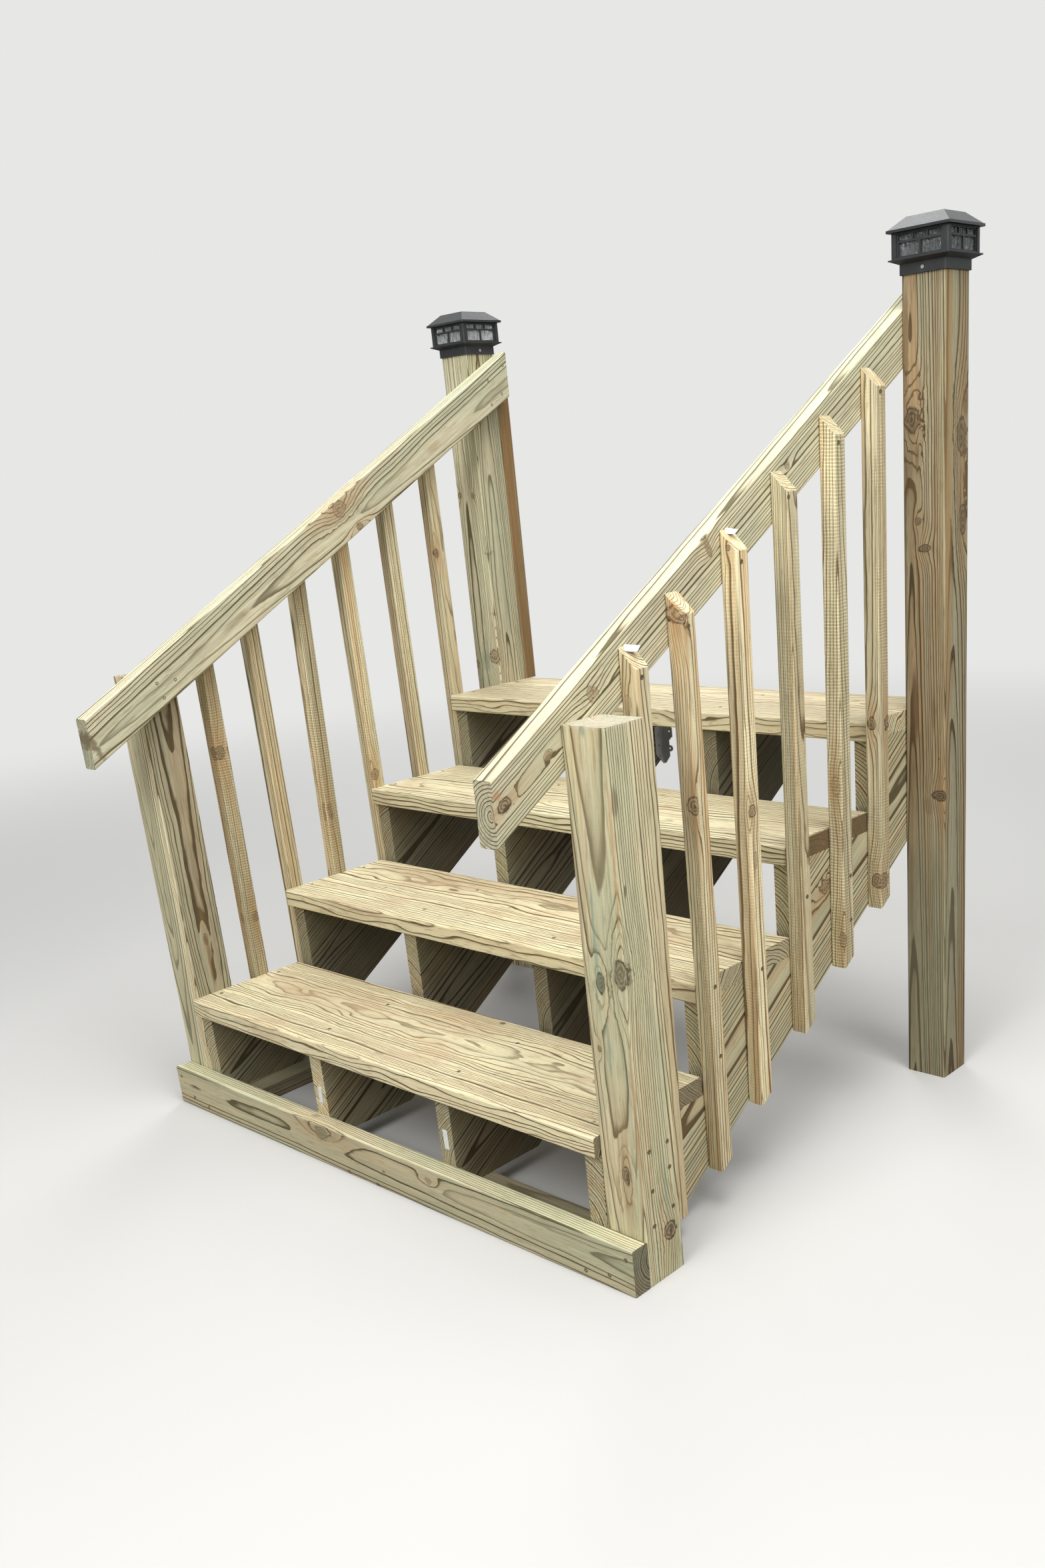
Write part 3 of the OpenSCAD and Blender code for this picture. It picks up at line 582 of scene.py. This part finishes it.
def pine(name, number):
    """One board's own finish: its place around the pith, its knots, the sawn pine, then its marks."""
    style = {**STYLE, **BOARDS[name]}
    style.setdefault("fold", style["ragged"] * FOLD_SHARE)
    low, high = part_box(name)
    pith = (low + high) / 2 + Vector(style["heart"]) / 1000
    turn = TURNS[style["run"]]
    back = turn.transposed()
    material, tree, shader = principled("Pine " + name.replace("_", " "))
    inputs = {"Vector": texture_place(tree), "Location": pith, "Rotation": turn.to_euler()}
    place = put("Mapping", inputs, vector_type="TEXTURE")
    # each face of a board is made lighter or darker by which way it looks: painted light and shade, with some real
    # darkening of end grain
    looks = put("TexCoord", {}, out=1, tree=tree)
    tone_with_painted_light = dot(move("MULTIPLY", looks, looks), Vector(style["faces"]) * style["pale"])
    if style["foot"] != 1.0:
        # painted light: a stringer is lighter towards its front end, where light reaches under the treads, and
        # darker behind, in their shade
        tone_with_painted_light = mul(tone_with_painted_light, rise(x_of(place), *PAINTED_LIGHT_FADE, style["foot"], 1.0))
    facing = put("Mapping", {"Vector": looks, "Rotation": back.to_euler()}, vector_type="VECTOR")
    carried = {}
    for i, (spot, radius, stretch, dark, stain) in enumerate(style["knots"]):
        carried = use("Branch knot", {
            "Place": place, "Centre": back @ (Vector(spot) - pith), "Radius": radius / 1000, "Stretch": stretch,
            "Dark": dark, "Stain": stain, "Seed": number * BOARD_SEED + i * KNOT_SEED, **carried})
    lengths = {key.title(): style[key] / 1000 for key in ("ring", "wander", "ragged", "fold")}
    shares = {key.title(): style[key] for key in (
        "taper", "fibre", "lines", "flat", "bleach", "warm", "green", "saw", "ducts", "soil")}
    wood = use("Sawn pine", {"Place": place, "Facing": facing, "Seed": number * WOOD_SEED, "Pale": tone_with_painted_light,
                             **lengths, **shares, **carried})
    colour = wood["Colour"]
    for spot, length, width, strength, ink in style["marks"]:
        colour = use("Board mark", {
            "Place": place, "Centre": back @ (Vector(spot) - pith), "Length": length / 1000, "Width": width / 1000,
            "Strength": strength, "Ink": rgba(ink), "Under": colour})["Colour"]
    surface = put("Bump", {"Height": wood["Height"], "Strength": 0.5, "Distance": 0.0012})
    fill(shader, {"Base Color": colour, "Roughness": wood["Roughness"], "Specular IOR Level": 0.3,
                  "Normal": surface})
    return material


def dress(name, material):
    """Puts a finish on a CAD node."""
    for held in NODES[name].material_slots:
        held.material = material
    if not NODES[name].material_slots:
        NODES[name].data.materials.append(material)


def coat(name, colour, rough, dust_colour, dust=0.3, metal=0.0, grain=1.0, bump=0.0003, waves=0.0, settings=()):
    """A painted, moulded or metal finish with fine dust."""
    material, tree, shader = principled(name)
    marks = use("Dust", {"Place": texture_place(tree), "Grain": grain})
    surface = put("Bump", {"Height": marks["Rub"], "Strength": 0.35, "Distance": bump})
    if waves:
        swell = noise(texture_place(tree), (150, 150, 45), 9.0, detail=2)
        surface = put("Bump", {"Height": swell, "Strength": 1.0, "Distance": waves, "Normal": surface})
    fill(shader, {"Base Color": tint(mul(marks["Dust"], dust), rgba(colour), rgba(dust_colour)),
                  "Roughness": mul_add(marks["Rub"], 0.25, rough - 0.1),
                  "Normal": surface, "Metallic": metal, **dict(settings)})
    return material


# Small pieces as surfaces

GOLDEN_ANGLE = 2.4
SCREW_SIDES = 36


def sheet_mesh(name, points, faces, material):
    """A mesh object from an array of points and one of faces, shaded smooth."""
    mesh = bpy.data.meshes.new(name)
    mesh.from_pydata(points.tolist(), [], faces.tolist())
    mesh.polygons.foreach_set("use_smooth", np.ones(len(mesh.polygons), bool))
    mesh.update()
    mesh.materials.append(material)
    piece = bpy.data.objects.new(name, mesh)
    bpy.context.scene.collection.objects.link(piece)
    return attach(piece, "root")


def screw_points(radius):
    """A screw head seen from above as height over a disc: the rim is a quarter round, the top is slightly domed,
    and the drive is a six-lobed well whose edge is at 0.42 + 0.09 cos(6 angle) of the radius."""
    angle = np.linspace(0, 2 * np.pi, SCREW_SIDES, endpoint=False)
    lobe = 0.42 + 0.09 * np.cos(6 * angle)
    circle = np.ones_like(lobe)
    # each ring's share of the radius and its height, from the rim to the well's bottom
    profile = ((circle, 0.0), (circle * 0.93, 0.00045), (circle * 0.72, 0.00062),
               (lobe * 1.06, 0.00066), (lobe * 0.94, 0.00012), (lobe * 0.45, 0.00008))
    middle = np.array([[0, 0, 0.00006]])
    rings = [np.stack([s * radius * np.cos(angle), s * radius * np.sin(angle), np.full_like(angle, h)], 1)
             for s, h in profile]
    i = np.arange(SCREW_SIDES)
    after = (i + 1) % SCREW_SIDES
    last = (len(profile) - 1) * SCREW_SIDES
    starts = range(0, last, SCREW_SIDES)
    faces = [np.stack([start + i, start + after, start + SCREW_SIDES + after], 1) for start in starts]
    faces += [np.stack([start + i, start + SCREW_SIDES + after, start + SCREW_SIDES + i], 1) for start in starts]
    faces += [np.stack([last + i, last + after, np.full(SCREW_SIDES, last + SCREW_SIDES)], 1)]
    return np.concatenate(rings + [middle]), np.concatenate(faces)


def on_faces(points, faces, spots):
    """Copies a small shape onto many spots. Each spot is a place and the way its face looks; the shape is turned
    so that its height runs that way, and about it by a golden angle a copy."""
    all_points, all_faces = [], []
    for k, (spot, way) in enumerate(spots):
        turn = Vector(way).to_track_quat("Z", "Y").to_matrix() @ Matrix.Rotation(k * GOLDEN_ANGLE, 3, "Z")
        all_points.append(points @ np.array(turn).T + np.array(spot))
        all_faces.append(faces + k * len(points))
    return np.concatenate(all_points), np.concatenate(all_faces)


def curled(width, length, lift, fold, rows=14, columns=8):
    """A blank tag as a sheet. It lies flat for 0.35 of its length, and then rises as the square of how far along
    it a point is, by about lift at its free end, with a shallow fold across it."""
    s, t = np.meshgrid(np.linspace(-0.5, 0.5, columns), np.linspace(0, 1, rows))
    z = lift * np.clip(t - 0.35, 0, None) ** 2 / 0.42 + fold * np.cos(s * 9 + t * 5) * t
    points = np.stack([s * width, t * length, z + 0.0006], -1).reshape(-1, 3)
    i = np.arange((rows - 1) * columns).reshape(rows - 1, columns)[:, :-1].ravel()
    return points, np.stack([i, i + 1, i + columns + 1, i + columns], 1)


def tag(name, material, spot, way, along, size, lift, fold):
    """Lays a curled sheet on a face: way is where the face looks, along is where the tag's free end points."""
    z, y = Vector(way).normalized(), Vector(along).normalized()
    turn = np.array([y.cross(z), y, z]).T
    points, faces = curled(*size, lift, fold)
    piece = sheet_mesh(name, points @ turn.T + np.array(spot), faces, material)
    thick = piece.modifiers.new("Thickness", "SOLIDIFY")
    thick.thickness, thick.offset = 0.0004, 1.0


# Where the screws and labels are

LEFT, RIGHT, FRONT, BEHIND, UP = (-1, 0, 0), (1, 0, 0), (0, -1, 0), (0, 1, 0), (0, 0, 1)
STRINGERS_X = (-0.590, -0.189, 0.205, 0.590)
LABEL_Y, KICK_SCREW_Y = -0.4972, -0.5353
# Depth and height of each screw, and on the front board its distance from the middle and height
NEWEL_SCREWS = [
    (-0.429, 0.247), (-0.475, 0.247), (-0.428, 0.199), (-0.474, 0.174), (-0.426, 0.124), (-0.476, 0.109)]
KICK_SCREWS = [(0.683, 0.068), (0.642, 0.025), (0.586, 0.014)]
RAIL_TOP_SCREWS = [(0.601, 1.552), (0.547, 1.518), (0.589, 1.488), (0.552, 1.464)]
RAIL_FOOT_SCREWS = [(-0.471, 0.956), (-0.428, 0.957), (-0.461, 0.925)]
BALUSTER_SCREWS = [
    (-0.344, 0.991), (-0.224, 1.052), (-0.079, 1.136), (0.060, 1.227), (0.215, 1.306), (0.353, 1.386),
    (-0.212, 0.436), (-0.208, 0.303), (-0.074, 0.425), (0.074, 0.520), (0.221, 0.521), (0.219, 0.432),
    (0.356, 0.781)]
CAP_SCREW_OUT, CAP_SCREW_DROP, CAP_SCREW_RADIUS = 0.0478, 0.009, 0.0034


def screw_spots():
    """The place of each deck screw and the way its face looks. Those on hidden faces mirror the ones that show."""
    spots = [((OUTSIDE, y, z), RIGHT) for y, z in NEWEL_SCREWS]
    spots += [((-OUTSIDE, y, z), LEFT) for y, z in NEWEL_SCREWS]
    spots += [((side * x, KICK_SCREW_Y, z), FRONT) for side in (1, -1) for x, z in KICK_SCREWS]
    spots += [((RAIL_LEFT_IN, y, z), RIGHT) for y, z in RAIL_TOP_SCREWS + RAIL_FOOT_SCREWS]
    spots += [((-RAIL_LEFT_IN, y - 0.012, z), LEFT) for y, z in RAIL_FOOT_SCREWS]
    spots += [((-RAIL_LEFT_IN, y - 0.036, z - 0.008), LEFT) for y, z in RAIL_TOP_SCREWS]
    spots += [((BALUSTER_OUT, y, z), RIGHT) for y, z in BALUSTER_SCREWS]
    for i in range(1, 7):
        low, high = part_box(f"baluster_left_{i}")
        y = (low.y + high.y) / 2
        spots += [((-BALUSTER_OUT, y, z), LEFT) for z in (high.z - 0.045, low.z + 0.06)]
    for i in range(1, 5):
        low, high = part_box(f"tread_{i}")
        for x in STRINGERS_X:
            x += 0.004 * math.sin(7 * x + i)
            spots += [((x, y, high.z), UP) for y in (low.y + 0.062, high.y - 0.07)]
    return spots


class DECKSTAIRS_OT_effects(bpy.types.Operator):
    """Builds the node groups that the finishes share"""
    bl_idname = "deckstairs.effects"
    bl_label = "Shared effects"

    def execute(self, context):
        make_knot_group()
        make_pine_group()
        make_mark_group()
        make_dust_group()
        return {"FINISHED"}


def finish_boards(*starts):
    found = [n for n in BOARDS if n.startswith(starts)]
    if not found:
        raise RuntimeError(f"no boards start with {starts}")
    for name in found:
        dress(name, pine(name, list(BOARDS).index(name) + 1))
    return {"FINISHED"}


class DECKSTAIRS_OT_steps(bpy.types.Operator):
    """Finishes the treads, stringers, front board and sleepers"""
    bl_idname = "deckstairs.steps"
    bl_label = "Treads and stringers"

    def execute(self, context):
        return finish_boards("tread", "stringer", "kick", "sleeper")


class DECKSTAIRS_OT_posts(bpy.types.Operator):
    """Finishes the newels, the tall posts and the board behind one of them"""
    bl_idname = "deckstairs.posts"
    bl_label = "Newels and posts"

    def execute(self, context):
        return finish_boards("newel", "post")


class DECKSTAIRS_OT_rails(bpy.types.Operator):
    """Finishes the two handrails and the twelve balusters"""
    bl_idname = "deckstairs.rails"
    bl_label = "Handrails and balusters"

    def execute(self, context):
        return finish_boards("rail", "baluster")


class DECKSTAIRS_OT_caps(bpy.types.Operator):
    """Finishes the two lantern caps and adds their screws"""
    bl_idname = "deckstairs.caps"
    bl_label = "Lantern caps"

    def execute(self, context):
        look = context.scene.deck_fittings
        black = coat("Cap black", look.cap, 0.46, (0.06, 0.06, 0.062), dust=0.25, grain=1.4)
        roof = coat("Cap roof", look.cap, 0.27, (0.06, 0.062, 0.066), dust=0.2, grain=1.4, bump=0.00002)
        panel = coat("Cap panel", (0.012, 0.016, 0.034), 0.16, (0.12, 0.12, 0.12), dust=0.22, bump=0.0001)
        for side, clear in (("left", (0.80, 0.82, 0.82)), ("right", (0.34, 0.36, 0.36))):
            glass = coat("Cap glass " + side, clear, 0.16, (0.25, 0.255, 0.25), dust=0.35, grain=3.0, bump=0.0004,
                         waves=0.006, settings={"Transmission Weight": 0.88, "IOR": 1.45})
            finishes = {"base": black, "frame": black, "roof": roof, "panel": panel, "glass": glass}
            for part, finish in finishes.items():
                dress(f"cap_{part}_{side}", finish)
        spots = []
        for side, ways in (("left", (RIGHT, LEFT)), ("right", (FRONT, BEHIND))):
            low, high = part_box(f"post_{side}")
            middle = (low + high) / 2
            for way in ways:
                foot = Vector((middle.x, middle.y, high.z - CAP_SCREW_DROP))
                spots.append((foot + Vector(way) * CAP_SCREW_OUT, way))
        steel = coat("Cap screw", (0.42, 0.42, 0.41), 0.4, (0.2, 0.2, 0.2), metal=0.8)
        points, faces = screw_points(CAP_SCREW_RADIUS)
        sheet_mesh("cap_screws", *on_faces(points, faces, spots), steel)
        return {"FINISHED"}


class DECKSTAIRS_OT_hangers(bpy.types.Operator):
    """Finishes the zinc hangers at the back ends of the stringers"""
    bl_idname = "deckstairs.hangers"
    bl_label = "Hangers"

    def execute(self, context):
        look = context.scene.deck_fittings
        zinc = coat("Zinc", look.zinc, 0.42, (0.42, 0.43, 0.44), dust=0.7, metal=0.55, grain=5.0)
        for i in range(1, 5):
            dress(f"hanger_{i}", zinc)
        return {"FINISHED"}


class DECKSTAIRS_OT_screws(bpy.types.Operator):
    """Adds the deck screws"""
    bl_idname = "deckstairs.screws"
    bl_label = "Deck screws"

    def execute(self, context):
        look = context.scene.deck_fittings
        steel = coat("Screw coating", look.screw, 0.5, (0.06, 0.045, 0.02), dust=0.8, metal=0.35, grain=8.0)
        points, faces = screw_points(look.screw_radius)
        sheet_mesh("deck_screws", *on_faces(points, faces, screw_spots()), steel)
        return {"FINISHED"}


class DECKSTAIRS_OT_tags(bpy.types.Operator):
    """Adds the blank lumber tags and end labels"""
    bl_idname = "deckstairs.tags"
    bl_label = "Blank tags"

    def execute(self, context):
        paper = coat("Blank tag", context.scene.deck_fittings.tag, 0.5, (0.6, 0.6, 0.56), dust=0.5, grain=4.0)
        for side, x, z, lean, length in (("left", STRINGERS_X[1], 0.112, 0.02, 0.038),
                                         ("right", STRINGERS_X[2], 0.118, -0.02, 0.042)):
            tag("label_inner_" + side, paper, (x, LABEL_Y, z), FRONT, (lean, 0, 1), (0.013, length), 0.0, 0.0)
        top1, top3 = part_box("baluster_right_1")[1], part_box("baluster_right_3")[1]
        for number, x, top, along, size, lift in ((1, 0.634, top1, (-0.95, -0.3, 0.05), (0.015, 0.030), 0.003),
                                                  (3, 0.630, top3, (-0.95, -0.1, 0.1), (0.013, 0.028), 0.005)):
            spot = (x, top.y - 0.012, top.z - 0.005)
            tag(f"tag_baluster_{number}", paper, spot, (0.1, -0.5, 0.86), along, size, lift, 0.0008)
        return {"FINISHED"}


# Floor, light and camera

FLOOR_SIDES, FLOOR_RADII = 64, np.array([0.0001, 1.5, 4, 9, 20, 60.0])
FLOOR_FADE = (1.6, 6.5)
FLOOR_BOUNCE = (0.30, 0.285, 0.26, 1)
SKY = (0.97, 0.985, 1.0, 1)
# Each lamp's place, width, and power as a share of the overhead one's. All point at AIM.
LAMPS = {"overhead": ((1.2, -0.7, 4.6), 3.0, 1.0), "front": ((0.9, -4.2, 4.0), 2.6, 1.0),
         "side": ((4.2, -0.9, 3.3), 2.4, 0.62), "back": ((-2.8, 3.7, 3.4), 2.6, 0.55),
         "roof": ((-1.33, 1.59, 4.95), 1.3, 0.13)}
AIM = Vector((0, 0, 0.7))
# The camera stands in front and to the right, a little above the handrails.
EYE, YAW, PITCH, ROLL = (2.05642, -1.94015, 1.29371), 0.75734, -0.34778, -0.08467
SENSOR, LENS, SHIFT_X, SHIFT_Y, CLIP_END = 36, 31.491, -0.06285, 0.11701, 200


def lay_floor(scene, look):
    """The floor is a disc whose rings widen outwards. It throws back less light than the camera sees of it, and
    far out it glows in the backdrop's own colour, so no horizon shows."""
    angle = np.linspace(0, 2 * np.pi, FLOOR_SIDES, endpoint=False)
    flat = np.zeros((len(FLOOR_RADII), FLOOR_SIDES))
    points = np.stack([np.outer(FLOOR_RADII, np.cos(angle)), np.outer(FLOOR_RADII, np.sin(angle)), flat], -1)
    i, r = np.meshgrid(np.arange(FLOOR_SIDES), np.arange(len(FLOOR_RADII) - 1) * FLOOR_SIDES)
    after = (i + 1) % FLOOR_SIDES
    faces = np.stack([r + i, r + FLOOR_SIDES + i, r + FLOOR_SIDES + after, r + after], -1).reshape(-1, 4)
    mesh = bpy.data.meshes.new("floor")
    mesh.from_pydata(points.reshape(-1, 3).tolist(), [], faces.tolist())
    floor = bpy.data.objects.new("floor", mesh)
    scene.collection.objects.link(floor)
    material, tree, shader = principled("Studio floor")
    tree.nodes.remove(shader)
    seen = put("LightPath", {}, tree=tree)
    far = mul(rise(length_of(texture_place(tree)), *FLOOR_FADE), seen)
    matt = put("BsdfDiffuse", {"Color": tint(seen, FLOOR_BOUNCE, rgba(look.floor))})
    glow = put("Emission", {"Color": rgba(look.backdrop), "Strength": 1.0}, tree=tree)
    both = put("MixShader", {0: far, 1: matt, 2: glow})
    tree.links.new(both, tree.nodes["Material Output"].inputs["Surface"])
    mesh.materials.append(material)


def light_world(scene, look):
    """The world gives even light, and shows the backdrop to the camera, to glossy surfaces and through glass."""
    world = bpy.data.worlds.new("Studio")
    scene.world = world
    world.use_nodes = True
    tree = world.node_tree
    tree.nodes.clear()
    rays = tree.nodes.new("ShaderNodeLightPath").outputs
    shown = calc("MAXIMUM", rays["Is Camera Ray"], rays["Is Glossy Ray"])
    shown = calc("MAXIMUM", shown, rays["Is Transmission Ray"])
    even = put("Background", {"Color": SKY, "Strength": look.sky}, tree=tree)
    shows = put("Background", {"Color": rgba(look.backdrop), "Strength": 1.0}, tree=tree)
    both = put("MixShader", {0: shown, 1: even, 2: shows})
    tree.links.new(both, tree.nodes.new("ShaderNodeOutputWorld").inputs["Surface"])


def hang_lamps(scene, look):
    for name, (spot, size, share) in LAMPS.items():
        lamp = bpy.data.lights.new(name, "AREA")
        lamp.shape, lamp.size, lamp.energy = "DISK", size, look.key * share
        held = bpy.data.objects.new(name, lamp)
        held.location = spot
        held.rotation_euler = (AIM - Vector(spot)).to_track_quat("-Z", "Y").to_euler()
        scene.collection.objects.link(held)


def place_camera(scene):
    right = Vector((math.cos(YAW), math.sin(YAW), 0))
    ahead = Vector((-math.sin(YAW) * math.cos(PITCH), math.cos(YAW) * math.cos(PITCH), math.sin(PITCH)))
    up = right.cross(ahead)
    right, up = right * math.cos(ROLL) + up * math.sin(ROLL), up * math.cos(ROLL) - right * math.sin(ROLL)
    view = bpy.data.cameras.new("view")
    view.sensor_width, view.lens, view.clip_end = SENSOR, LENS, CLIP_END
    view.shift_x, view.shift_y = SHIFT_X, SHIFT_Y
    camera = bpy.data.objects.new("view", view)
    camera.matrix_world = Matrix.Translation(EYE) @ Matrix((right, up, -ahead)).transposed().to_4x4()
    scene.collection.objects.link(camera)
    scene.camera = camera


class DECKSTAIRS_OT_stage(bpy.types.Operator):
    """Sets the floor, the light and the camera"""
    bl_idname = "deckstairs.stage"
    bl_label = "Stage, light and camera"

    def execute(self, context):
        look, scene = context.scene.deck_stage, context.scene
        lay_floor(scene, look)
        light_world(scene, look)
        hang_lamps(scene, look)
        place_camera(scene)
        scene.view_settings.view_transform = "Standard"
        return {"FINISHED"}


class DECKSTAIRS_PT_panel(bpy.types.Panel):
    """Lists the steps that finish the stairs"""
    bl_idname = "DECKSTAIRS_PT_panel"
    bl_label = "Deck stairs"
    bl_space_type = "VIEW_3D"
    bl_region_type = "UI"
    bl_category = "Deck stairs"

    def draw(self, context):
        for operator in STEPS:
            self.layout.operator(operator.bl_idname)
        for look in (context.scene.deck_pine, context.scene.deck_fittings, context.scene.deck_stage):
            for key in look.bl_rna.properties.keys():
                if key not in ("rna_type", "name"):
                    self.layout.prop(look, key)


STEPS = (DECKSTAIRS_OT_effects, DECKSTAIRS_OT_steps, DECKSTAIRS_OT_posts, DECKSTAIRS_OT_rails, DECKSTAIRS_OT_caps,
         DECKSTAIRS_OT_hangers, DECKSTAIRS_OT_screws, DECKSTAIRS_OT_tags, DECKSTAIRS_OT_stage)
LOOKS = (("deck_pine", PineLook), ("deck_fittings", FittingLook), ("deck_stage", StageLook))


def register():
    for name, kind in LOOKS:
        bpy.utils.register_class(kind)
        setattr(bpy.types.Scene, name, bpy.props.PointerProperty(type=kind))
    for kind in (*STEPS, DECKSTAIRS_PT_panel):
        bpy.utils.register_class(kind)


def unregister():
    for kind in (DECKSTAIRS_PT_panel, *reversed(STEPS)):
        bpy.utils.unregister_class(kind)
    for name, kind in reversed(LOOKS):
        delattr(bpy.types.Scene, name)
        bpy.utils.unregister_class(kind)


def main():
    register()
    bpy.ops.deckstairs.effects()
    bpy.ops.deckstairs.steps()
    bpy.ops.deckstairs.posts()
    bpy.ops.deckstairs.rails()
    bpy.ops.deckstairs.caps()
    bpy.ops.deckstairs.hangers()
    bpy.ops.deckstairs.screws()
    bpy.ops.deckstairs.tags()
    bpy.ops.deckstairs.stage()


if __name__ == "__main__":
    main()
